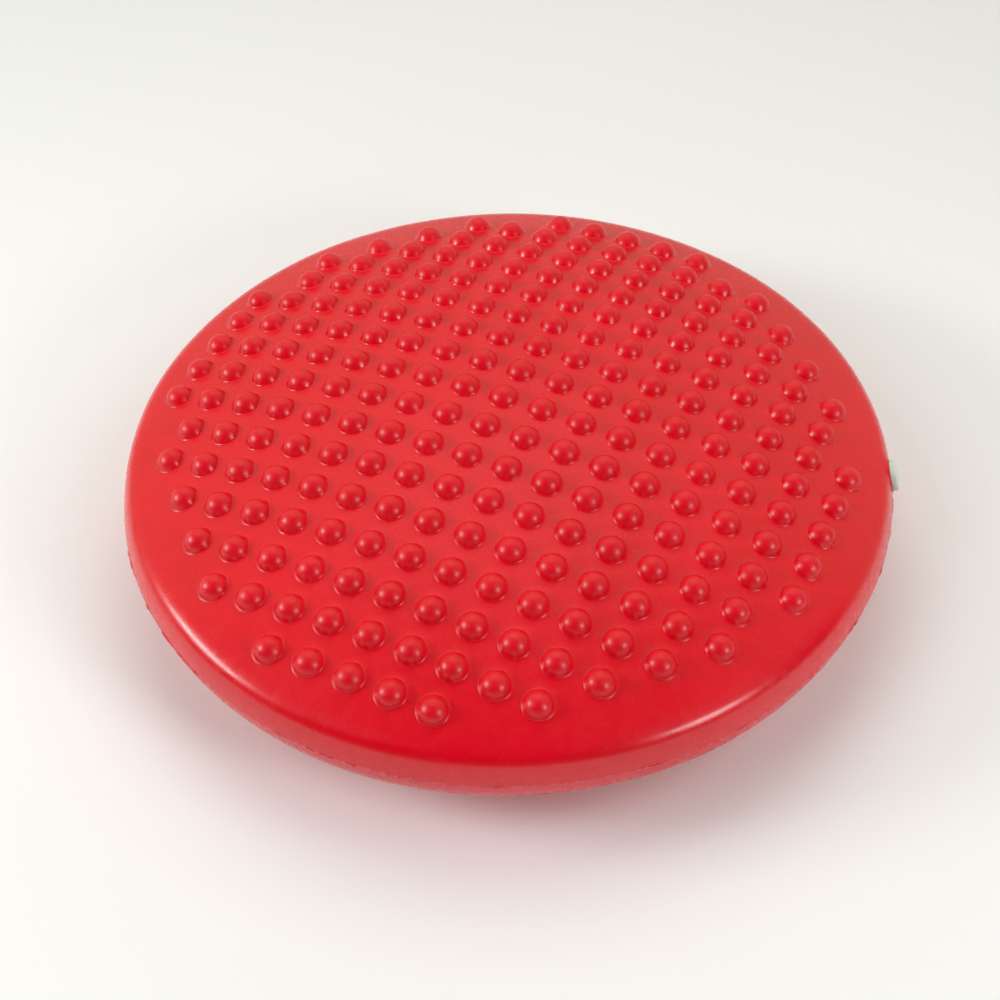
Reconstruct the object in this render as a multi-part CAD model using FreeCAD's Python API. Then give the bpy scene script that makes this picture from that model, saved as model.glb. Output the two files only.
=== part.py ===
import FreeCAD, Part
import math
import os

# Inflatable balance pad: one hollow moulding of soft vinyl, filled with air, with rounded nodules on its top
# and a push-in valve plug in its rim. Millimetres, +Z up. The origin is the centre of the flat patch that rests
# on the floor, and +X points at the valve.
# The moulding is cut into ring-shaped zones (base_skin, flex_ring, rim_band, top_skin), because the pad's top
# tilts and sinks over the patch that stays on the floor. A narrow slit parts each zone from the next.

# Overall shape. Half of the section runs from the parting line up a slightly bowed wall, over a soft crease and
# a round shoulder, and on to a shallow dome. Each angle is how far the surface faces upwards, in degrees.
disc_radius = 195.0
crease_radius = 3.5        # of the edge at the parting line, and of the one between the wall and the shoulder
wall_low_angle = 6.0
wall_high_angle = 24.0
wall_radius = 35.0
brow_low_angle = 30.0      # the brow is the tight lower part of the shoulder, just above the wall
brow_high_angle = 50.0
brow_radius = 9.0
shoulder_radius = 22.0
crown_height = 49.5        # from the parting line up to the middle of the dome
floor_flattening = 2.0     # how much of the lower dome's crown the floor presses flat
skin_thickness = 3.0
slit = 0.3                 # between two zones of the moulding

# Where the zones meet, as radii on the lower dome and on the upper dome.
base_edge_radius = 110.0
flex_edge_radius = 160.0
top_edge_radius = 181.5

# Parting line: a low rib of trimmed flash round the widest part.
flash_width = 0.8
flash_height = 0.5

# Nodules: rounded bumps on a square grid, square to the dome, out to a limit counted in grid steps.
nodule_pitch = 20.75
nodule_radius = 7.0
nodule_height = 5.5
nodule_root = 1.5          # how far a nodule reaches into the skin
grid_turn = -20.1          # degrees from +X to the nearest row of nodules
grid_centre_x = -0.9       # the grid's middle sits a little off the pad's axis
grid_centre_y = -0.9
grid_limit_squared = 70    # a grid point (u, v) has a nodule when u*u + v*v is at most this

# Valve: a short sleeve moulded into the upper wall, and a flanged plug pushed into it.
valve_lift = 16.0          # degrees that the valve's axis rises towards its outer end
sleeve_radius = 6.5
sleeve_length = 9.0
collar_radius = 8.3
collar_depth = 2.6
bore_radius = 4.05
flange_radius = 8.0
flange_thickness = 3.3
flange_rounding = 1.0
flange_gap = 0.1           # between the flange and the sleeve's collar
stem_radius = 4.0
stem_length = 12.0
stem_groove_depth = 0.45
stem_rib_count = 3
stem_rib_width = 1.6
stem_tip_length = 2.0
stem_tip_radius = 3.1
face_dish_radius = 4.6
face_dish_depth = 0.6

Z_AXIS = FreeCAD.Vector(0, 0, 1)
ORIGIN = FreeCAD.Vector(0, 0, 0)


def at(radius, height):
    return FreeCAD.Vector(radius, 0, height)


def facing(angle):
    """The direction in the XZ plane at an angle in degrees from +X towards +Z."""
    return at(math.cos(math.radians(angle)), math.sin(math.radians(angle)))


# Worked out from the sizes above, about the parting line. The section's arcs meet smoothly: each arc's centre
# lies on the line through the arc before it and that arc's centre, where the two arcs meet.
parting_height = crown_height - floor_flattening
parting_centre = at(disc_radius - crease_radius, 0)
wall_centre = parting_centre + facing(wall_low_angle) * (crease_radius - wall_radius)
crease_centre = wall_centre + facing(wall_high_angle) * (wall_radius - crease_radius)
brow_centre = crease_centre + facing(brow_low_angle) * (crease_radius - brow_radius)
shoulder_centre = brow_centre + facing(brow_high_angle) * (brow_radius - shoulder_radius)
# The dome is a sphere centred on the pad's axis, so the two centres lie dome_radius - shoulder_radius apart:
# shoulder_centre.x^2 + (dome_radius - centre_drop)^2 = (dome_radius - shoulder_radius)^2.
centre_drop = crown_height - shoulder_centre.z
dome_radius = (shoulder_centre.x**2 + centre_drop**2 - shoulder_radius**2) / (2 * (centre_drop - shoulder_radius))
dome_centre = at(0, crown_height - dome_radius)
dome_edge_angle = math.degrees(math.acos(shoulder_centre.x / (dome_radius - shoulder_radius)))

def revolve(points_and_arcs):
    """A solid of revolution about Z. Each entry is an edge in the XZ plane, and together they close a face."""
    face = Part.Face(Part.Wire(Part.__sortEdges__(points_and_arcs)))
    solid = face.revolve(ORIGIN, Z_AXIS, 360)
    if solid.Volume < 0:
        solid.reverse()
    return solid


def line(start, end):
    return Part.makeLine(start, end)


def arc(centre, radius, from_angle, to_angle):
    """An arc in the XZ plane, with its angles in degrees from +X towards +Z."""
    points = [centre + facing(angle) * radius for angle in (from_angle, (from_angle + to_angle) / 2, to_angle)]
    return Part.Arc(*points).toShape()


def disc(inset):
    """The whole lens shape about z = 0, its surface moved inwards by inset."""
    half = (
        (parting_centre, crease_radius, 0, wall_low_angle),
        (wall_centre, wall_radius, wall_low_angle, wall_high_angle),
        (crease_centre, crease_radius, wall_high_angle, brow_low_angle),
        (brow_centre, brow_radius, brow_low_angle, brow_high_angle),
        (shoulder_centre, shoulder_radius, brow_high_angle, dome_edge_angle),
        (dome_centre, dome_radius, dome_edge_angle, 90),
    )
    edges = []
    for side in (1, -1):
        for centre, radius, low, high in half:
            edges.append(arc(at(centre.x, side * centre.z), radius - inset, side * low, side * high))
    crown = crown_height - inset
    edges.append(line(at(0, crown), at(0, -crown)))
    return revolve(edges)


def lifted(shape):
    """Moves a shape built about the parting line up to its place above the floor."""
    shape.translate(FreeCAD.Vector(0, 0, parting_height))
    return shape


def floor_block(height):
    """A block that reaches from height downwards, wider than the pad."""
    size = 4 * disc_radius
    corner = FreeCAD.Vector(-size / 2, -size / 2, height - size)
    return Part.makeBox(size, size, size, corner)


def shell():
    """The hollow moulding, its underside flat where it rests. The skin keeps its thickness over the patch."""
    outside = lifted(disc(0)).cut(floor_block(0))
    inside = lifted(disc(skin_thickness)).cut(floor_block(skin_thickness))
    return outside.cut(inside)


def ring_zone(inner_radius, outer_radius, low, high):
    """The space between two upright cylinders, or a full cylinder when inner_radius is 0."""
    zone = Part.makeCylinder(outer_radius, high - low, FreeCAD.Vector(0, 0, low))
    if inner_radius > 0:
        zone = zone.cut(Part.makeCylinder(inner_radius, high - low, FreeCAD.Vector(0, 0, low)))
    return zone


def base_skin(moulding):
    zone = ring_zone(0, base_edge_radius - slit / 2, -1, parting_height)
    return moulding.common(zone)


def flex_ring(moulding):
    zone = ring_zone(base_edge_radius + slit / 2, flex_edge_radius - slit / 2, -1, parting_height)
    return moulding.common(zone)


def rim_band(moulding):
    below = ring_zone(0, flex_edge_radius + slit / 2, -1, parting_height)
    above = ring_zone(0, top_edge_radius + slit / 2, parting_height, 3 * parting_height)
    return moulding.cut(below).cut(above).cut(valve_cylinder(sleeve_radius, -sleeve_length, collar_depth))


def dome_point(x, y):
    """The point of the upper dome above (x, y), and the direction square to the dome there."""
    centre = at(0, parting_height) + dome_centre
    rise = math.sqrt(dome_radius**2 - x**2 - y**2)
    point = centre + FreeCAD.Vector(x, y, rise)
    return point, point.sub(centre).normalize()


def nodule():
    """One nodule, upright on the origin: a spherical cap on a short root that reaches into the skin."""
    cap_radius = (nodule_radius**2 + nodule_height**2) / (2 * nodule_height)
    cap_centre = at(0, nodule_height - cap_radius)
    base_angle = math.degrees(math.asin((cap_radius - nodule_height) / cap_radius))
    edges = [
        arc(cap_centre, cap_radius, base_angle, 90),
        line(at(0, nodule_height), at(0, -nodule_root)),
        line(at(0, -nodule_root), at(nodule_radius, -nodule_root)),
        line(at(nodule_radius, -nodule_root), at(nodule_radius, 0)),
    ]
    return revolve(edges)


def nodules():
    """Every nodule of the grid, in its place on the dome."""
    turn = math.radians(grid_turn)
    along = FreeCAD.Vector(math.cos(turn), math.sin(turn), 0).multiply(nodule_pitch)
    across = FreeCAD.Vector(-math.sin(turn), math.cos(turn), 0).multiply(nodule_pitch)
    reach = math.isqrt(grid_limit_squared)
    middle = FreeCAD.Vector(grid_centre_x, grid_centre_y, 0)
    pattern = nodule()
    placed = []
    for u in range(-reach, reach + 1):
        for v in range(-reach, reach + 1):
            if u * u + v * v > grid_limit_squared:
                continue
            foot = middle + along * u + across * v
            point, normal = dome_point(foot.x, foot.y)
            bump = pattern.copy()
            bump.Placement = FreeCAD.Placement(point, FreeCAD.Rotation(Z_AXIS, normal))
            placed.append(bump)
    return placed


def top_skin(moulding):
    zone = ring_zone(0, top_edge_radius - slit / 2, parting_height, 3 * parting_height)
    return moulding.common(zone).multiFuse(nodules())


def flash_rib():
    """The parting line's rib, cut away round the valve's collar."""
    rib = ring_zone(disc_radius - flash_width, disc_radius + flash_height, -flash_width / 2, flash_width / 2)
    around_valve = valve_cylinder(collar_radius + slit, -sleeve_length, sleeve_length)
    return lifted(rib.cut(disc(0))).cut(around_valve)


def valve_placement():
    """The valve's own frame: its +Z runs outwards along the valve, from the middle of the flange's seat."""
    outwards = facing(valve_lift)
    seat = at(0, parting_height) + wall_centre + outwards * wall_radius
    return FreeCAD.Placement(seat, FreeCAD.Rotation(Z_AXIS, outwards))


def valve_cylinder(radius, low, high):
    """A cylinder on the valve's axis, from low to high along it."""
    cylinder = Part.makeCylinder(radius, high - low, at(0, low))
    cylinder.Placement = valve_placement()
    return cylinder


def valve_sleeve():
    """A tube through the wall, with a collar outside that gives the plug's flange a flat seat."""
    tube = valve_cylinder(sleeve_radius, -sleeve_length, 0)
    collar = valve_cylinder(collar_radius, -collar_depth, 0).cut(lifted(disc(0)))
    bore = valve_cylinder(bore_radius, -2 * sleeve_length, sleeve_length)
    return tube.fuse(collar).cut(bore).removeSplitter()


def valve_plug():
    """A flange with a dished face, and a ribbed stem with a tapered tip."""
    flange_top = flange_gap + flange_thickness
    flange = Part.makeCylinder(flange_radius, flange_thickness, at(0, flange_gap))
    outer_edge = [e for e in flange.Edges if abs(e.CenterOfMass.z - flange_top) < 1e-6 and e.Closed]
    flange = flange.makeFillet(flange_rounding, outer_edge)
    flange = flange.cut(Part.makeCylinder(face_dish_radius, face_dish_depth, at(0, flange_top - face_dish_depth)))
    core_radius = stem_radius - stem_groove_depth
    straight = stem_length - stem_tip_length
    core = Part.makeCylinder(core_radius, straight + flange_gap, at(0, -straight))
    tip = Part.makeCone(stem_tip_radius, core_radius, stem_tip_length, at(0, -stem_length))
    plug = flange.fuse([core, tip])
    rib_step = (straight - stem_rib_width) / (stem_rib_count - 1)
    for index in range(stem_rib_count):
        plug = plug.fuse(Part.makeCylinder(stem_radius, stem_rib_width, at(0, -straight + index * rib_step)))
    plug = plug.removeSplitter()
    plug.Placement = valve_placement()
    return plug


def main():
    moulding = shell()
    nodes = {
        "base_skin": base_skin(moulding),
        "flex_ring": flex_ring(moulding),
        "rim_band": rim_band(moulding),
        "top_skin": top_skin(moulding),
        "parting_flash": flash_rib(),
        "valve_sleeve": valve_sleeve(),
        "valve_plug": valve_plug(),
    }
    os.makedirs("parts", exist_ok=True)
    for name, shape in nodes.items():
        shape.exportStep(f"parts/{name}.step")
        print(name, "valid" if shape.isValid() else "INVALID", len(shape.Solids), round(shape.Volume))


main()
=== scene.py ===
import math
import random

import bpy
import numpy as np
from mathutils import Matrix, Vector, noise
from mathutils.geometry import delaunay_2d_cdt


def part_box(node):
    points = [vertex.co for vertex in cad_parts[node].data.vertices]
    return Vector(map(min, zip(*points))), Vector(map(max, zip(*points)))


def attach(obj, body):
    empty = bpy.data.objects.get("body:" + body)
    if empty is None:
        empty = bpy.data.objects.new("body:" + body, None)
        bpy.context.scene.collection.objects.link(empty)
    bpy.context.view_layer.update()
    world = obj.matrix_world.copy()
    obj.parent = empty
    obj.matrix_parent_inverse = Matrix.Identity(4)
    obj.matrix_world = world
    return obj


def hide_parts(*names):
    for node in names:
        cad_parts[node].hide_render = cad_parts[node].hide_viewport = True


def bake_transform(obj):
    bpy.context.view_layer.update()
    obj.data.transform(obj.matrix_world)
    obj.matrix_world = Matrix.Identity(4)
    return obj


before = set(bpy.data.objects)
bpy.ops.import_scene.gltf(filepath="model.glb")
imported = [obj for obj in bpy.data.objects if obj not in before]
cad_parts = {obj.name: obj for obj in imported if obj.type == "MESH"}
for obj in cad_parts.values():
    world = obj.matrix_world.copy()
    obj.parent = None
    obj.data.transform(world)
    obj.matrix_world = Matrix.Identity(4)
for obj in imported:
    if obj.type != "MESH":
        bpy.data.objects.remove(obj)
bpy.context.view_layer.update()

# Balance pad: the looks of an inflated vinyl disc with nodules, a parting line and a valve plug.
# Everything is in metres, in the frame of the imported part: +Z up, +X towards the valve, the floor at z = 0.

MM = 0.001

# ---------------------------------------------------------------- sizes

DISC_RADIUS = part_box("rim_band")[1].y
PARTING_Z = (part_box("parting_flash")[0].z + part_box("parting_flash")[1].z) / 2
NODULE_CAD_HEIGHT = 5.5 * MM
CROWN_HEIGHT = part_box("top_skin")[1].z - NODULE_CAD_HEIGHT - PARTING_Z
BASE_EDGE_RADIUS = 110.0 * MM      # where the piece on the floor meets the bending ring
FLEX_EDGE_RADIUS = 160.0 * MM      # where the bending ring meets the rim
PATCH_SOFTNESS = 0.5 * MM          # rounds the edge of the flat patch on the floor

# The section is close to the CAD part's, with a slightly softer brow and shoulder: a soft edge at the
# parting line, a bowed wall, a soft crease, a tight brow, a round shoulder and a spherical dome, each an
# arc that carries on smoothly from the one before. Angles are how far it faces up.
CREASE_RADIUS = 3.5 * MM
WALL_LOW_ANGLE = math.radians(6.0)
WALL_HIGH_ANGLE = math.radians(24.0)
WALL_RADIUS = 35.0 * MM
BROW_LOW_ANGLE = math.radians(30.0)
BROW_HIGH_ANGLE = math.radians(60.0)
BROW_RADIUS = 11.0 * MM
SHOULDER_RADIUS = 26.0 * MM


def facing(angle):
    """The direction at an angle above level, as (outwards, upwards)."""
    return Vector((math.cos(angle), math.sin(angle)))


PARTING_CENTRE = Vector((DISC_RADIUS - CREASE_RADIUS, 0))
WALL_CENTRE = PARTING_CENTRE + facing(WALL_LOW_ANGLE) * (CREASE_RADIUS - WALL_RADIUS)
CREASE_CENTRE = WALL_CENTRE + facing(WALL_HIGH_ANGLE) * (WALL_RADIUS - CREASE_RADIUS)
BROW_CENTRE = CREASE_CENTRE + facing(BROW_LOW_ANGLE) * (CREASE_RADIUS - BROW_RADIUS)
SHOULDER_CENTRE = BROW_CENTRE + facing(BROW_HIGH_ANGLE) * (BROW_RADIUS - SHOULDER_RADIUS)
CENTRE_DROP = CROWN_HEIGHT - SHOULDER_CENTRE.y
DOME_RADIUS = (SHOULDER_CENTRE.x**2 + CENTRE_DROP**2 - SHOULDER_RADIUS**2) / (
    2 * (CENTRE_DROP - SHOULDER_RADIUS)
)
DOME_CENTRE = Vector((0, CROWN_HEIGHT - DOME_RADIUS))
DOME_EDGE_ANGLE = math.acos(SHOULDER_CENTRE.x / (DOME_RADIUS - SHOULDER_RADIUS))
DOME_EDGE_RADIUS = DOME_RADIUS * math.cos(DOME_EDGE_ANGLE)

# The arcs from the dome's edge down to the parting line: centre, radius, how far the upper and the lower
# end face up, and the rows of faces along the arc.
RIM_ARCS = (
    (SHOULDER_CENTRE, SHOULDER_RADIUS, DOME_EDGE_ANGLE, BROW_HIGH_ANGLE, 10),
    (BROW_CENTRE, BROW_RADIUS, BROW_HIGH_ANGLE, BROW_LOW_ANGLE, 6),
    (CREASE_CENTRE, CREASE_RADIUS, BROW_LOW_ANGLE, WALL_HIGH_ANGLE, 4),
    (WALL_CENTRE, WALL_RADIUS, WALL_HIGH_ANGLE, WALL_LOW_ANGLE, 8),
    (PARTING_CENTRE, CREASE_RADIUS, WALL_LOW_ANGLE, 0.0, 2),
)

# Nodules: a spherical cap with a small hollow fillet round its foot, a little taller than the CAD part's.
NODULE_PITCH = 20.75 * MM
NODULE_HEIGHT = 5.9 * MM
NODULE_CAP_RADIUS = 7.4 * MM
NODULE_FILLET = 1.3 * MM
GRID_TURN = math.radians(-20.1)
GRID_CENTRE = Vector((-0.9, -0.9)) * MM
GRID_LIMIT_SQUARED = 70
RANDOM_SEED = 7
SIZE_SPREAD = 0.02                 # how far one nodule's size is from the usual one, at most
NODULE_SEGMENTS = 32
CAP_RINGS = 8
FIRST_CAP_RING = 0.35              # how far the first ring is from the tip, in steps between rings
FILLET_RINGS = 4
FILL_STEPS = 6                     # fill points between the nodules, per grid step
FILL_CLEARANCE = 1.2 * MM
FILL_EDGE_STEPS = 0.6              # how far the fill stays from the dome's edge, in fill steps

# Inflated vinyl is never quite true: it swells and dips in broad and fine waves, which fade out at the
# floor.
BROAD_WAVES = 11.0
BROAD_HEIGHT = 0.35 * MM
FINE_WAVES = 45.0
FINE_HEIGHT = 0.09 * MM
FINE_OFFSET = Vector((3.1, 7.7, 1.3))
WAVE_FADE_HEIGHT = 12.0 * MM

# Rings round the rim.
AROUND = 360
LOWER_DOME_STEP = 4.0 * MM

# Valve.
VALVE_LIFT = math.radians(16.0)
FLANGE_RADIUS = 8.0 * MM
FLANGE_GAP = 0.1 * MM
FLANGE_THICKNESS = 3.3 * MM
BOSS_RADIUS = 8.3 * MM
BOSS_FOOT_RADIUS = 10.2 * MM
SKIN_HOLE_RADIUS = 6.6 * MM
BOSS_MARGIN = 0.7 * MM             # clear ring between the boss's foot and the rim's own points
BOSS_RINGS = (SKIN_HOLE_RADIUS, 7.4 * MM, BOSS_RADIUS, 8.8 * MM, 9.3 * MM, 9.75 * MM, BOSS_FOOT_RADIUS)
BORE_RADIUS = 4.05 * MM
SLEEVE_LENGTH = 9.0 * MM
STEM_RADIUS = 4.0 * MM
STEM_LENGTH = 12.0 * MM
VALVE_PATCH_COLUMNS = 6
VALVE_ROWS_BELOW = 8               # rows below the parting line that the patch round the valve takes in
VALVE_SEGMENTS = 48
PLUG_SEGMENTS = 64

# Meshes.
WELD_STEPS = 1e7                   # points are joined when they round to the same step, this many to a metre
AXIS_TOLERANCE = 1e-7
FLAT_TOLERANCE = 1e-6

# ---------------------------------------------------------------- the surface of the pad


def dome_point(x, y):
    """The point of the upper dome above (x, y), and the outward normal there."""
    centre = Vector((0, 0, PARTING_Z + DOME_CENTRE.y))
    rise = math.sqrt(DOME_RADIUS**2 - x * x - y * y)
    normal = Vector((x, y, rise)) / DOME_RADIUS
    return centre + normal * DOME_RADIUS, normal


def section_point(centre, radius, angle):
    """A point of the section as (radius, height, outward, upward), the last two being its normal."""
    out, up = facing(angle)
    return centre.x + radius * out, PARTING_Z + centre.y + radius * up, out, up


def rim_rows():
    """The section's points from the upper dome's edge down over the rim to the lower dome's edge."""
    upper = [section_point(DOME_CENTRE, DOME_RADIUS, DOME_EDGE_ANGLE)]
    for centre, radius, high, low, steps in RIM_ARCS:
        for i in range(1, steps + 1):
            upper.append(section_point(centre, radius, high + (low - high) * i / steps))
    lower = [(r, 2 * PARTING_Z - z, out, -up) for r, z, out, up in reversed(upper[:-1])]
    return upper + lower


def lower_dome_row(radius):
    """The section's point on the lower dome at a radius. The floor presses the middle flat."""
    polar = math.asin(radius / DOME_RADIUS)
    z = PARTING_Z - DOME_CENTRE.y - DOME_RADIUS * math.cos(polar)
    pressed = (z + math.sqrt(z * z + PATCH_SOFTNESS**2)) / 2
    return radius, pressed, math.sin(polar), -math.cos(polar)


def lower_dome_rows(outer_radius, inner_radius):
    return [lower_dome_row(radius) for radius in spread(outer_radius, inner_radius, LOWER_DOME_STEP)]


def uneven(point, normal):
    """Moves a point of the skin along its normal by a fraction of a millimetre."""
    broad = noise.noise(point * BROAD_WAVES) * BROAD_HEIGHT
    fine = noise.noise(point * FINE_WAVES + FINE_OFFSET) * FINE_HEIGHT
    fade = min(1.0, point.z / WAVE_FADE_HEIGHT)
    return point + normal * (broad + fine) * fade


def skin_point(angle, row):
    """A point of the skin at an angle round the pad, on a row of its section."""
    radius, height, out, up = row
    direction = Vector((math.cos(angle), math.sin(angle), 0))
    normal = direction * out + Vector((0, 0, up))
    return uneven(direction * radius + Vector((0, 0, height)), normal)


def angle_at(column):
    return 2 * math.pi * column / AROUND


# ---------------------------------------------------------------- mesh helpers


def without_repeats(ring):
    """A face's corners, with neighbours that are the same point kept once."""
    return [v for i, v in enumerate(ring) if v != ring[i - 1]]


def triangles_between(points):
    """Joins flat points into triangles, each given as the indices of its three corners."""
    _, _, triangles, sources, _, _ = delaunay_2d_cdt(points, [], [], 0, FLAT_TOLERANCE)
    return [[sources[v][0] for v in triangle] for triangle in triangles]


class Skin:
    """Collects vertices and faces, and joins vertices that lie at the same place."""

    def __init__(self):
        self.points = []
        self.faces = []
        self.found = {}

    def vertex(self, point):
        key = tuple(round(coordinate * WELD_STEPS) for coordinate in point)
        if key not in self.found:
            self.found[key] = len(self.points)
            self.points.append(tuple(point))
        return self.found[key]

    def face(self, corners):
        distinct = without_repeats([self.vertex(p) for p in corners])
        if len(distinct) > 2:
            self.faces.append(distinct)

    def object(self, name):
        return make_object(name, self.points, self.faces)


def make_object(name, points, faces):
    mesh = bpy.data.meshes.new(name)
    mesh.from_pydata([tuple(p) for p in points], [], faces)
    mesh.validate()
    mesh.shade_smooth()
    piece = bpy.data.objects.new(name, mesh)
    bpy.context.scene.collection.objects.link(piece)
    return piece


def rings_between(skin, rows, skip=None):
    """Quads between rings round the pad. skip(column, index) leaves one out."""
    for index in range(len(rows) - 1):
        upper = [skin_point(angle_at(c), rows[index]) for c in range(AROUND)]
        lower = [skin_point(angle_at(c), rows[index + 1]) for c in range(AROUND)]
        for column in range(AROUND):
            if skip and skip(column, index):
                continue
            after = (column + 1) % AROUND
            skin.face([upper[column], lower[column], lower[after], upper[after]])


def spread(start, end, step):
    """Evenly spaced values from start to end, about step apart."""
    count = max(1, round(abs(end - start) / step))
    return [start + (end - start) * i / count for i in range(count + 1)]


def revolve(name, outline, axis_frame, segments):
    """A closed solid of revolution. outline is a list of (radius, height) that starts and ends on the axis or
    closes on itself, and axis_frame places it, with its +Z along the axis."""
    points = []
    faces = []
    rings = []
    for radius, height in outline:
        if radius < AXIS_TOLERANCE:
            rings.append([len(points)] * segments)
            points.append(axis_frame @ Vector((0, 0, height)))
            continue
        rings.append(list(range(len(points), len(points) + segments)))
        for i in range(segments):
            turn = 2 * math.pi * i / segments
            points.append(axis_frame @ Vector((radius * math.cos(turn), radius * math.sin(turn), height)))
    for lower, upper in zip(rings, rings[1:]):
        for i in range(segments):
            j = (i + 1) % segments
            distinct = without_repeats([lower[i], lower[j], upper[j], upper[i]])
            if len(distinct) > 2:
                faces.append(distinct)
    return make_object(name, points, faces)


def rounded(centre_radius, centre_height, size, from_degrees, to_degrees, steps):
    """Points of a rounded corner of an outline."""
    found = []
    for i in range(steps + 1):
        turn = math.radians(from_degrees + (to_degrees - from_degrees) * i / steps)
        found.append((centre_radius + size * math.cos(turn), centre_height + size * math.sin(turn)))
    return found


# ---------------------------------------------------------------- nodules


def nodule_outline():
    """(radius, height) from the nodule's tip to the edge of its fillet."""
    cap_centre = NODULE_HEIGHT - NODULE_CAP_RADIUS
    reach = NODULE_CAP_RADIUS + NODULE_FILLET
    fillet_radius = math.sqrt(reach**2 - (NODULE_FILLET - cap_centre) ** 2)
    meeting = math.asin(fillet_radius / reach)
    outline = []
    for i in range(CAP_RINGS):
        polar = meeting * (i + FIRST_CAP_RING) / (CAP_RINGS - 1 + FIRST_CAP_RING)
        across, up = NODULE_CAP_RADIUS * math.sin(polar), NODULE_CAP_RADIUS * math.cos(polar)
        outline.append((across, cap_centre + up))
    for i in range(1, FILLET_RINGS + 1):
        polar = meeting * (1 - i / FILLET_RINGS)
        outline.append(
            (
                fillet_radius - NODULE_FILLET * math.sin(polar),
                NODULE_FILLET - NODULE_FILLET * math.cos(polar),
            )
        )
    return outline


def grid_places():
    """The (x, y) of every nodule."""
    along = Vector((math.cos(GRID_TURN), math.sin(GRID_TURN))) * NODULE_PITCH
    across = Vector((-math.sin(GRID_TURN), math.cos(GRID_TURN))) * NODULE_PITCH
    reach = math.isqrt(GRID_LIMIT_SQUARED)
    return [
        GRID_CENTRE + along * u + across * v
        for u in range(-reach, reach + 1)
        for v in range(-reach, reach + 1)
        if u * u + v * v <= GRID_LIMIT_SQUARED
    ]


def add_nodule(skin, place, outline, size):
    """Adds one nodule, and returns the (x, y) of the ring where it meets the dome. Its size fades back to the
    usual one at its foot, so that every foot has the same radius."""
    foot, normal = dome_point(place.x, place.y)
    side = normal.cross(Vector((0, 0, 1)) if normal.z < 0.999 else Vector((0, 1, 0))).normalized()
    other = normal.cross(side)
    edge_radius = outline[-1][0]
    rings = []
    foot_ring = []
    for radius, height in outline:
        grown = radius + (size - 1) * radius * max(0.0, 1 - (radius / edge_radius) ** 4)
        ring = []
        for i in range(NODULE_SEGMENTS):
            turn = 2 * math.pi * i / NODULE_SEGMENTS
            flat = foot + (side * math.cos(turn) + other * math.sin(turn)) * grown
            base, base_normal = dome_point(flat.x, flat.y)
            ring.append(uneven(base + normal * height * size, base_normal))
            if radius == edge_radius:
                foot_ring.append((base.x, base.y))
        rings.append(ring)
    tip = uneven(foot + normal * NODULE_HEIGHT * size, normal)
    for i in range(NODULE_SEGMENTS):
        j = (i + 1) % NODULE_SEGMENTS
        skin.face([tip, rings[0][i], rings[0][j]])
        for inner, outer in zip(rings, rings[1:]):
            skin.face([inner[i], outer[i], outer[j], inner[j]])
    return foot_ring


def fill_places(places, edge_radius):
    """Points that fill the dome between and around the nodules, on a finer grid in line with theirs."""
    step = NODULE_PITCH / FILL_STEPS
    along = Vector((math.cos(GRID_TURN), math.sin(GRID_TURN)))
    across = Vector((-along.y, along.x))
    reach = int(DOME_EDGE_RADIUS / step) + 1
    grid = []
    for i in range(-reach, reach + 1):
        for j in range(-reach, reach + 1):
            point = GRID_CENTRE + along * (i + 0.5 * (j % 2)) * step + across * j * step
            if point.length < DOME_EDGE_RADIUS - FILL_EDGE_STEPS * step:
                grid.append((point.x, point.y))
    grid = np.array(grid)
    centres = np.array([(p.x, p.y) for p in places])
    near = np.full(len(grid), np.inf)
    for centre in centres:
        near = np.minimum(near, np.hypot(grid[:, 0] - centre[0], grid[:, 1] - centre[1]))
    return [tuple(p) for p in grid[near > edge_radius + FILL_CLEARANCE]]


def add_dome(skin):
    """The dome up to its edge, with every nodule."""
    random.seed(RANDOM_SEED)
    outline = nodule_outline()
    places = grid_places()
    flat = []
    owner = []
    for index, place in enumerate(places):
        ring = add_nodule(skin, place, outline, 1 + random.uniform(-SIZE_SPREAD, SIZE_SPREAD))
        flat += ring
        owner += [index] * len(ring)
    flat += fill_places(places, outline[-1][0])
    turns = [angle_at(c) for c in range(AROUND)]
    flat += [(DOME_EDGE_RADIUS * math.cos(turn), DOME_EDGE_RADIUS * math.sin(turn)) for turn in turns]
    owner += [-1] * (len(flat) - len(owner))
    lifted = [uneven(*dome_point(x, y)) for x, y in flat[:-AROUND]]
    edge_row = rim_rows()[0]
    lifted += [skin_point(turn, edge_row) for turn in turns]
    for corners in triangles_between([Vector(p) / MM for p in flat]):
        owners = {owner[c] for c in corners}
        if len(owners) == 1 and owners != {-1}:
            continue
        skin.face([lifted[c] for c in corners])


# ---------------------------------------------------------------- valve


def valve_frame():
    """The valve's own frame: its +Z runs outwards along the valve, from the middle of the flange's seat."""
    outwards = Vector((math.cos(VALVE_LIFT), 0, math.sin(VALVE_LIFT)))
    seat = Vector((WALL_CENTRE.x, 0, PARTING_Z + WALL_CENTRE.y)) + outwards * WALL_RADIUS
    sideways = Vector((0, 1, 0))
    upwards = outwards.cross(sideways)
    placed = Matrix((sideways, upwards, outwards)).transposed().to_4x4()
    placed.translation = seat
    return placed


def nearest_skin(point):
    """The angle round the pad of a point near the rim, and the place of the nearest point of the section
    there, counted in rows from the first one."""
    angle = math.atan2(point.y, point.x)
    here = Vector((math.hypot(point.x, point.y), point.z))
    rows = [Vector(row[:2]) for row in rim_rows()]
    found = []
    for index, (start, end) in enumerate(zip(rows, rows[1:])):
        along = end - start
        share = min(1.0, max(0.0, (here - start).dot(along) / along.length_squared))
        found.append(((start + along * share - here).length, index + share))
    return angle, min(found)[1]


def between_rows(rows, place):
    """The section's row at a fractional place."""
    index = min(int(place), len(rows) - 2)
    share = place - index
    return tuple(a + (b - a) * share for a, b in zip(rows[index], rows[index + 1]))


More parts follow.
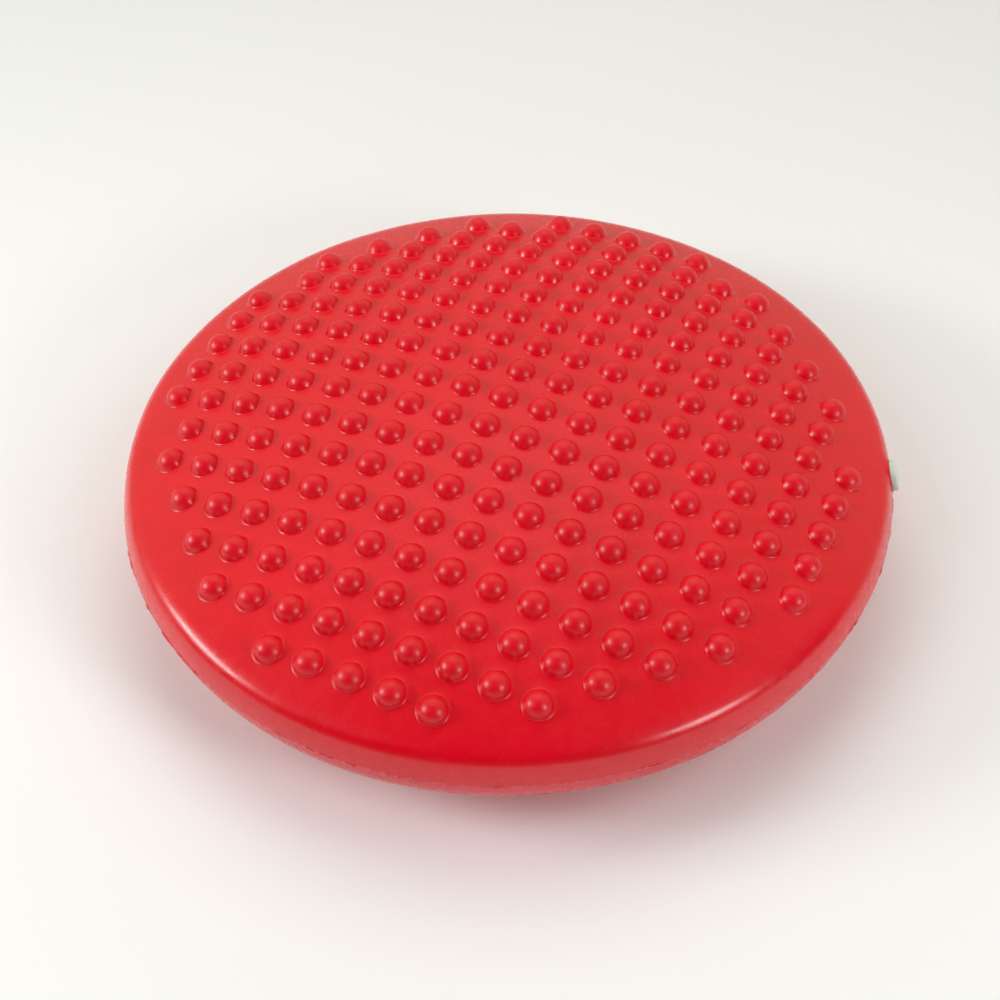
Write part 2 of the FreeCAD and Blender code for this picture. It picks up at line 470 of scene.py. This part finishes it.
def add_valve_boss(skin, rows, last_row):
    """The part of the rim round the valve: a low flat boss with a hole, moulded into the wall."""
    valve = valve_frame()
    inverse = valve.inverted()
    depth = [0.0]
    for one, other in zip(rows, rows[1:]):
        depth.append(depth[-1] + math.hypot(one[0] - other[0], one[1] - other[1]))
    flat = []
    lifted = []

    def add(angle, place, point):
        index = min(int(place), len(depth) - 2)
        down = depth[index] + (depth[index + 1] - depth[index]) * (place - index)
        flat.append(Vector((angle * DISC_RADIUS, down)) / MM)
        lifted.append(point)

    for index in range(last_row + 1):
        for column in range(-VALVE_PATCH_COLUMNS, VALVE_PATCH_COLUMNS + 1):
            point = skin_point(angle_at(column % AROUND), rows[index])
            local = inverse @ point
            if math.hypot(local.x, local.y) > BOSS_FOOT_RADIUS + BOSS_MARGIN:
                add(angle_at(column), index, point)
    hole = []
    for radius in BOSS_RINGS:
        for i in range(VALVE_SEGMENTS):
            turn = 2 * math.pi * i / VALVE_SEGMENTS
            seat = valve @ Vector((radius * math.cos(turn), radius * math.sin(turn), 0))
            angle, place = nearest_skin(seat)
            share = min(1.0, max(0.0, (radius - BOSS_RADIUS) / (BOSS_FOOT_RADIUS - BOSS_RADIUS)))
            share = share * share * (3 - 2 * share)
            if radius == SKIN_HOLE_RADIUS:
                hole.append(len(flat))
            add(angle, place, seat.lerp(skin_point(angle, between_rows(rows, place)), share))
    hole = set(hole)
    for corners in triangles_between(flat):
        if not hole.issuperset(corners):
            skin.face([lifted[c] for c in reversed(corners)])


def make_sleeve():
    """The sleeve that the plug is pushed into: a tube with a rounded mouth, flush with the boss."""
    lip = 0.5 * MM
    face_radius = 5.6 * MM
    tube_radius = 6.0 * MM
    collar_depth = 0.8 * MM
    cone_depth = 3.6 * MM
    outline = [(SKIN_HOLE_RADIUS, -collar_depth), (SKIN_HOLE_RADIUS, 0.0), (face_radius, 0.0)]
    outline += rounded(BORE_RADIUS + lip, -lip, lip, 90, 180, 4)
    outline += [(BORE_RADIUS, h) for h in spread(-lip - 1 * MM, -SLEEVE_LENGTH + lip, 1.5 * MM)]
    outline += rounded(BORE_RADIUS + lip, -SLEEVE_LENGTH + lip, lip, 180, 270, 3)
    outline += rounded(tube_radius - lip, -SLEEVE_LENGTH + lip, lip, -90, 0, 3)
    outline += [(tube_radius, -cone_depth), (SKIN_HOLE_RADIUS, -collar_depth)]
    return revolve("valve_sleeve_mouth", outline, valve_frame(), VALVE_SEGMENTS)


def make_plug():
    """The push-in plug: a flange with a dished face and a small centre dimple, and a ribbed stem."""
    low = FLANGE_GAP
    high = low + FLANGE_THICKNESS
    soft = 0.9 * MM
    heel = 0.4 * MM
    core = STEM_RADIUS - 0.45 * MM
    tip_radius = 3.1 * MM
    rib_feet = (-10.0 * MM, -6.0 * MM, -2.0 * MM)
    rib_round = 0.3 * MM
    outline = [(0.0, -STEM_LENGTH)]
    outline += rounded(tip_radius - heel, -STEM_LENGTH + heel, heel, -90, 0, 3)
    outline.append((core, rib_feet[0]))
    for foot in rib_feet:
        outline += rounded(STEM_RADIUS - rib_round, foot + 0.4 * MM, rib_round, -60, 0, 2)
        outline += rounded(STEM_RADIUS - rib_round, foot + 1.3 * MM, rib_round, 0, 60, 2)
        outline.append((core, foot + 1.9 * MM))
    outline += [(core, low), (core + 0.4 * MM, low), (6.0 * MM, low)]
    outline += rounded(FLANGE_RADIUS - heel, low + heel, heel, -90, 0, 3)
    outline += rounded(FLANGE_RADIUS - soft, high - soft, soft, 0, 90, 6)
    # Radius and depth, in millimetres, from the face's brim over its dish to the bottom of the dimple.
    brim = ((5.2, -0.02), (4.7, 0.1))
    dish = ((4.3, 0.42), (3.7, 0.55), (1.7, 0.58))
    dimple = ((1.3, 0.75), (0.9, 1.3), (0.0, 1.4))
    outline += [(radius * MM, high - depth * MM) for radius, depth in brim + dish + dimple]
    return revolve("valve_plug_moulding", outline, valve_frame(), PLUG_SEGMENTS)


# ---------------------------------------------------------------- pieces


def make_top_and_rim():
    """The skin from the bending ring up over the rim, and the whole top with its nodules."""
    skin = Skin()
    add_dome(skin)
    rim = rim_rows()
    rows = rim + lower_dome_rows(DOME_EDGE_RADIUS, FLEX_EDGE_RADIUS)[1:]
    last_row = len(rim) // 2 + VALVE_ROWS_BELOW

    def round_the_valve(column, index):
        beside = column < VALVE_PATCH_COLUMNS or column >= AROUND - VALVE_PATCH_COLUMNS
        return beside and index < last_row

    rings_between(skin, rows, round_the_valve)
    add_valve_boss(skin, rim, last_row)
    return skin.object("top_and_rim")


def make_underside_ring():
    """The ring of the underside between the flat middle and the rim."""
    skin = Skin()
    rings_between(skin, lower_dome_rows(FLEX_EDGE_RADIUS, BASE_EDGE_RADIUS))
    return skin.object("underside_ring")


def make_underside_patch():
    """The middle of the underside, pressed flat where it rests on the floor."""
    skin = Skin()
    rows = lower_dome_rows(BASE_EDGE_RADIUS, 2 * MM)
    rings_between(skin, rows)
    middle = skin_point(0.0, (0.0, *rows[-1][1:]))
    last = [skin_point(angle_at(c), rows[-1]) for c in range(AROUND)]
    for column in range(AROUND):
        skin.face([last[column], middle, last[(column + 1) % AROUND]])
    return skin.object("underside_patch")


def make_flash():
    """The trimmed flash: a thin broken ridge along the parting line."""
    samples = 1800
    least = 0.10 * MM
    extra = 0.45 * MM
    sunk = 0.05 * MM
    clearance = 2 * MM
    wander_height = 0.15 * MM
    ridge = ((-0.25, 0.45), (0.55, 0.20), (1.0, 0.0), (0.55, -0.20), (-0.25, -0.45))
    widest = section_point(PARTING_CENTRE, CREASE_RADIUS, 0.0)
    valve = valve_frame().inverted()
    points = []
    faces = []
    for i in range(samples):
        turn = 2 * math.pi * i / samples
        direction = Vector((math.cos(turn), math.sin(turn), 0))
        torn = noise.noise(direction * 9.0) + 0.8 * noise.noise(direction * 31.0)
        stands = least + extra * min(1.0, max(0.0, torn * 3.0 - 0.35))
        wander = noise.noise(direction * 14.0) * wander_height
        base = skin_point(turn, widest)
        near = valve @ base
        clear = max(0.0, min(1.0, (math.hypot(near.x, near.y) - BOSS_FOOT_RADIUS) / clearance))
        stands = stands * clear - sunk * (1 - clear)
        for out, up in ridge:
            reach = stands * out if out > 0 else out * MM
            points.append(base + direction * reach + Vector((0, 0, up * MM + wander)))
    for i in range(samples):
        here = i * len(ridge)
        there = ((i + 1) % samples) * len(ridge)
        for k in range(len(ridge)):
            m = (k + 1) % len(ridge)
            faces.append([here + k, here + m, there + m, there + k])
    return make_object("parting_flash_ridge", points, faces)


# ---------------------------------------------------------------- materials


class Nodes:
    """A short way to build a node material."""

    def __init__(self, name):
        self.material = bpy.data.materials.new(name)
        self.material.use_nodes = True
        self.tree = self.material.node_tree
        self.shader = self.tree.nodes["Principled BSDF"]
        self.place = self.tree.nodes.new("ShaderNodeTexCoord").outputs["Object"]

    def new(self, kind, **values):
        node = self.tree.nodes.new(kind)
        for key, value in values.items():
            setattr(node, key, value)
        return node

    def link(self, source, target):
        self.tree.links.new(source, target)

    def noise(self, scale, detail=2.0, roughness=0.5):
        node = self.new("ShaderNodeTexNoise")
        node.inputs["Scale"].default_value = scale
        node.inputs["Detail"].default_value = detail
        node.inputs["Roughness"].default_value = roughness
        self.link(self.place, node.inputs["Vector"])
        return node.outputs["Fac"]

    def spread(self, source, low, high, from_low=0.3, from_high=0.7):
        node = self.new("ShaderNodeMapRange")
        node.inputs["From Min"].default_value = from_low
        node.inputs["From Max"].default_value = from_high
        node.inputs["To Min"].default_value = low
        node.inputs["To Max"].default_value = high
        self.link(source, node.inputs["Value"])
        return node.outputs["Result"]

    def add(self, first, second):
        node = self.new("ShaderNodeMath", operation="ADD")
        self.link(first, node.inputs[0])
        self.link(second, node.inputs[1])
        return node.outputs[0]

    def above_dome(self):
        """How far a point stands out from the sphere of the upper dome, in metres."""
        from_centre = self.new("ShaderNodeVectorMath", operation="DISTANCE")
        from_centre.inputs[1].default_value = (0.0, 0.0, PARTING_Z + DOME_CENTRE.y)
        self.link(self.place, from_centre.inputs[0])
        height = self.new("ShaderNodeMath", operation="SUBTRACT")
        height.inputs[1].default_value = DOME_RADIUS
        self.link(from_centre.outputs["Value"], height.inputs[0])
        return height.outputs[0]

    def mix(self, share, first, second):
        """A colour between two. A mix node's colour sockets are its inputs 6 and 7 and its output 2."""
        node = self.new("ShaderNodeMix", data_type="RGBA")
        self.link(share, node.inputs[0])
        node.inputs[6].default_value = (*first, 1.0)
        node.inputs[7].default_value = (*second, 1.0)
        return node.outputs[2]

    def bump(self, height, strength, distance):
        node = self.new("ShaderNodeBump")
        node.inputs["Strength"].default_value = strength
        node.inputs["Distance"].default_value = distance
        self.link(height, node.inputs["Height"])
        return node.outputs["Normal"]

    def finish(self, colour, roughness, normal):
        self.link(colour, self.shader.inputs["Base Color"])
        self.link(roughness, self.shader.inputs["Roughness"])
        self.link(normal, self.shader.inputs["Normal"])
        return self.material


def vinyl_material():
    """Soft red vinyl: satin gloss, fine moulded grain, slow changes of tone and slightly duller nodules."""
    n = Nodes("red_vinyl")
    tone = n.spread(n.noise(18.0, 3.0), 0.0, 1.0)
    colour = n.mix(tone, (0.70, 0.0015, 0.012), (0.76, 0.0030, 0.0165))
    skin_roughness = n.spread(n.noise(140.0, 3.0), 0.23, 0.30)
    nodule_dulling = n.spread(n.above_dome(), 0.0, 0.10, 1.0 * MM, 3.0 * MM)
    roughness = n.add(skin_roughness, nodule_dulling)
    normal = n.bump(n.noise(700.0, 3.0, 0.6), 0.12, 0.0003)
    n.shader.inputs["IOR"].default_value = 1.58
    return n.finish(colour, roughness, normal)


def flash_material():
    """The same vinyl where it was cut: paler, rough and slightly torn."""
    n = Nodes("trimmed_vinyl")
    tone = n.spread(n.noise(420.0, 3.0), 0.0, 1.0, 0.40, 0.65)
    colour = n.mix(tone, (0.62, 0.012, 0.03), (0.88, 0.22, 0.24))
    roughness = n.spread(n.noise(900.0, 2.0), 0.40, 0.65)
    normal = n.bump(n.noise(1600.0, 3.0, 0.7), 0.35, 0.0004)
    return n.finish(colour, roughness, normal)


def plug_material():
    """Pale, slightly translucent plastic with a faint green cast."""
    n = Nodes("pale_plug_plastic")
    tone = n.spread(n.noise(260.0, 2.0), 0.0, 1.0)
    colour = n.mix(tone, (0.56, 0.66, 0.58), (0.66, 0.74, 0.67))
    roughness = n.spread(n.noise(700.0, 2.0), 0.34, 0.46)
    normal = n.bump(n.noise(1300.0, 2.0), 0.12, 0.0002)
    n.shader.inputs["Subsurface Weight"].default_value = 0.35
    n.shader.inputs["Subsurface Radius"].default_value = (1.0, 1.0, 0.9)
    n.shader.inputs["Subsurface Scale"].default_value = 0.002
    return n.finish(colour, roughness, normal)


def floor_material():
    n = Nodes("plain_floor")
    tone = n.spread(n.noise(3.0, 1.0), 0.0, 1.0)
    colour = n.mix(tone, (0.90, 0.90, 0.90), (0.91, 0.91, 0.91))
    roughness = n.spread(n.noise(6.0, 1.0), 0.88, 0.92)
    normal = n.bump(n.noise(8.0, 1.0), 0.01, 0.0001)
    n.shader.inputs["Specular IOR Level"].default_value = 0.2
    return n.finish(colour, roughness, normal)


def wear(piece, material):
    piece.data.materials.clear()
    piece.data.materials.append(material)


# ---------------------------------------------------------------- studio

# The studio is laid out as seen by the camera: x to its right, y away from it. It is turned about the pad's
# axis, because the valve sits a little towards the camera from the pad's right-hand side.
STUDIO_TURN = math.radians(5.6)
CAMERA_HEIGHT_ANGLE = math.radians(47.27)
CAMERA_DISTANCE = 0.8857
CAMERA_AIM = Vector((-0.0040, -0.0236))
CAMERA_ROLL = math.radians(-1.30)
CAMERA_LENS = 63.25
SENSOR = 36.0

# Soft boxes: name, direction and height in degrees, distance, width, height and watts. The keys are
# switched off for glossy rays, and the strips are not.
KEY_LIGHTS = (
    ("back_key", 90, 64, 1.6, 1.2, 1.2, 7.5),
    ("left_key", 205, 50, 1.6, 1.0, 0.8, 5.6),
    ("right_key", -28, 50, 1.6, 1.0, 0.8, 6.2),
)
STRIP_LIGHTS = (
    ("left_box", 185, 27, 1.7, 0.62, 0.28, 11.0),
    ("right_box", -41, 27, 1.7, 0.46, 0.32, 6.8),
)

# How bright the studio is, from the horizon behind the pad (0) over the top (0.5) to the horizon on the
# camera's side (1).
WORLD_LEVELS = (
    (0.0, 0.50),
    (0.20, 0.60),
    (0.33, 0.62),
    (0.44, 0.20),
    (0.49, 0.04),
    (0.60, 0.0),
    (0.90, 0.0),
    (0.98, 0.4),
)
WORLD_TINT = (1.0, 0.97, 0.74)
FLOOR_REACH = 3.0
FLOOR_DROP = 0.05 * MM


def studio(x, y, z):
    """A studio place in the frame of the pad."""
    return Matrix.Rotation(STUDIO_TURN, 3, "Z") @ Vector((x, y, z))


def make_camera():
    data = bpy.data.cameras.new("camera")
    data.lens = CAMERA_LENS
    data.sensor_width = SENSOR
    data.sensor_fit = "HORIZONTAL"
    camera = bpy.data.objects.new("camera", data)
    bpy.context.scene.collection.objects.link(camera)
    aim = Vector((CAMERA_AIM.x, CAMERA_AIM.y, PARTING_Z))
    back = Vector((0, -math.cos(CAMERA_HEIGHT_ANGLE), math.sin(CAMERA_HEIGHT_ANGLE)))
    right = Vector((1, 0, 0))
    up = back.cross(right)
    turned_right = right * math.cos(CAMERA_ROLL) + up * math.sin(CAMERA_ROLL)
    turned_up = up * math.cos(CAMERA_ROLL) - right * math.sin(CAMERA_ROLL)
    place = Matrix((turned_right, turned_up, back)).transposed().to_4x4()
    place.translation = aim + back * CAMERA_DISTANCE
    camera.matrix_world = Matrix.Rotation(STUDIO_TURN, 4, "Z") @ place
    bpy.context.scene.camera = camera


def make_light(name, direction_degrees, height_degrees, distance, width, height, watts, glossy):
    """A soft box that faces the pad. Its direction is measured from the camera's right, anticlockwise."""
    data = bpy.data.lights.new(name, "AREA")
    data.shape = "RECTANGLE"
    data.size = width
    data.size_y = height
    data.energy = watts
    light = bpy.data.objects.new(name, data)
    bpy.context.scene.collection.objects.link(light)
    turn = math.radians(direction_degrees)
    lift = math.radians(height_degrees)
    target = Vector((0, 0, PARTING_Z))
    offset = studio(math.cos(turn) * math.cos(lift), math.sin(turn) * math.cos(lift), math.sin(lift))
    light.location = target + offset * distance
    light.rotation_euler = offset.to_track_quat("Z", "Y").to_euler()
    light.visible_glossy = glossy


def make_world():
    """A plain studio round the pad: bright behind it, dark overhead, and a low glow on the camera's side."""
    world = bpy.data.worlds.new("studio")
    bpy.context.scene.world = world
    world.use_nodes = True
    nodes = world.node_tree.nodes
    links = world.node_tree.links
    place = nodes.new("ShaderNodeTexCoord")
    turn = nodes.new("ShaderNodeVectorRotate")
    turn.rotation_type = "Z_AXIS"
    turn.inputs["Angle"].default_value = -STUDIO_TURN
    parts = nodes.new("ShaderNodeSeparateXYZ")
    sweep = nodes.new("ShaderNodeMath")
    sweep.operation = "ARCTAN2"
    share = nodes.new("ShaderNodeMapRange")
    share.inputs["From Min"].default_value = 0.0
    share.inputs["From Max"].default_value = math.pi
    ramp = nodes.new("ShaderNodeValToRGB")
    links.new(place.outputs["Generated"], turn.inputs["Vector"])
    links.new(turn.outputs["Vector"], parts.inputs["Vector"])
    links.new(parts.outputs["Z"], sweep.inputs[0])
    links.new(parts.outputs["Y"], sweep.inputs[1])
    links.new(sweep.outputs["Value"], share.inputs["Value"])
    links.new(share.outputs["Result"], ramp.inputs["Fac"])
    links.new(ramp.outputs["Color"], nodes["Background"].inputs["Color"])
    ramp.color_ramp.elements.remove(ramp.color_ramp.elements[1])
    for position, _ in WORLD_LEVELS[1:]:
        ramp.color_ramp.elements.new(position)
    for index, (_, level) in enumerate(WORLD_LEVELS):
        ramp.color_ramp.elements[index].color = (*(level * part for part in WORLD_TINT), 1.0)


def make_floor():
    corners = [(x * FLOOR_REACH, y * FLOOR_REACH, 0) for x, y in ((-1, -1), (1, -1), (1, 1), (-1, 1))]
    floor = make_object("floor", corners, [[0, 1, 2, 3]])
    floor.location.z = -FLOOR_DROP
    wear(floor, floor_material())


# ---------------------------------------------------------------- making it


def main():
    make_camera()
    make_world()
    make_floor()
    for settings in KEY_LIGHTS:
        make_light(*settings, glossy=False)
    for settings in STRIP_LIGHTS:
        make_light(*settings, glossy=True)
    bpy.context.scene.view_settings.view_transform = "Standard"

    vinyl = vinyl_material()
    top = make_top_and_rim()
    ring = make_underside_ring()
    patch = make_underside_patch()
    flash = make_flash()
    sleeve = make_sleeve()
    plug = make_plug()
    for piece in (top, ring, patch, sleeve):
        wear(piece, vinyl)
    wear(flash, flash_material())
    wear(plug, plug_material())

    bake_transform(patch)
    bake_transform(ring)
    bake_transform(top)
    for piece in (flash, sleeve):
        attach(piece, "rim")
    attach(plug, "plug")
    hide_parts("top_skin", "rim_band")
    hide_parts("flex_ring")
    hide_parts("base_skin")
    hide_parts("parting_flash")
    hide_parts("valve_sleeve")
    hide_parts("valve_plug")


main()
